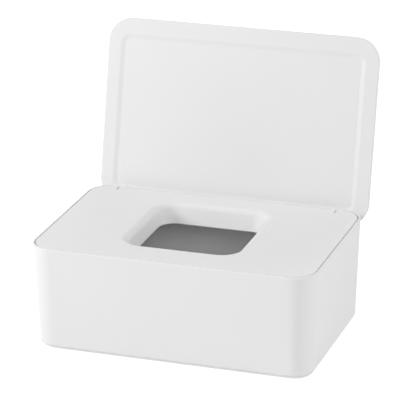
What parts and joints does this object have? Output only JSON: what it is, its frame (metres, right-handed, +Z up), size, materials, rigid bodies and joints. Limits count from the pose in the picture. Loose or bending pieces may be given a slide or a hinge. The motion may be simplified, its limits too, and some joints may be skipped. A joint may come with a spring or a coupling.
{
  "type": "wipes dispenser",
  "caption": "Rectangular wipes dispenser: open-topped tub, lift-out cover plate with a rounded dispensing well, and a flat flip lid hinged at the rear, shown open.",
  "frame": {"origin": "on the resting surface, under the centre of the tub", "axes": "+X along the long side, -Y towards the front, away from the hinge, +Z up"},
  "size_m": [0.19, 0.1619, 0.1779],
  "materials": {
    "tub": "fine satin, moulded white polypropylene",
    "cover": "fine satin, moulded white polypropylene",
    "lid": "fine satin, moulded white polypropylene",
    "hinge_pins": "ground wire",
    "foot_pads": "matt pale silicone"
  },
  "bodies": {
    "tub": {"tub": "tub", "foot_pad_front_left": "foot_pads", "foot_pad_front_right": "foot_pads", "foot_pad_rear_left": "foot_pads", "foot_pad_rear_right": "foot_pads"},
    "cover": {"cover_plate": "cover", "hinge_pin_left": "hinge_pins", "hinge_pin_right": "hinge_pins"},
    "lid": {"lid": "lid"}
  },
  "joints": [
    {"name": "cover_lift", "type": "slide", "parent": "tub", "child": "cover", "axis": [0, 0, 1], "range_m": [0, 0.04]},
    {"name": "lid_hinge", "type": "hinge", "parent": "cover", "child": "lid", "pos_m": [0, 0.0587, 0.0624], "axis": [1, 0, 0], "range_deg": [0, 104.1]}
  ]
}
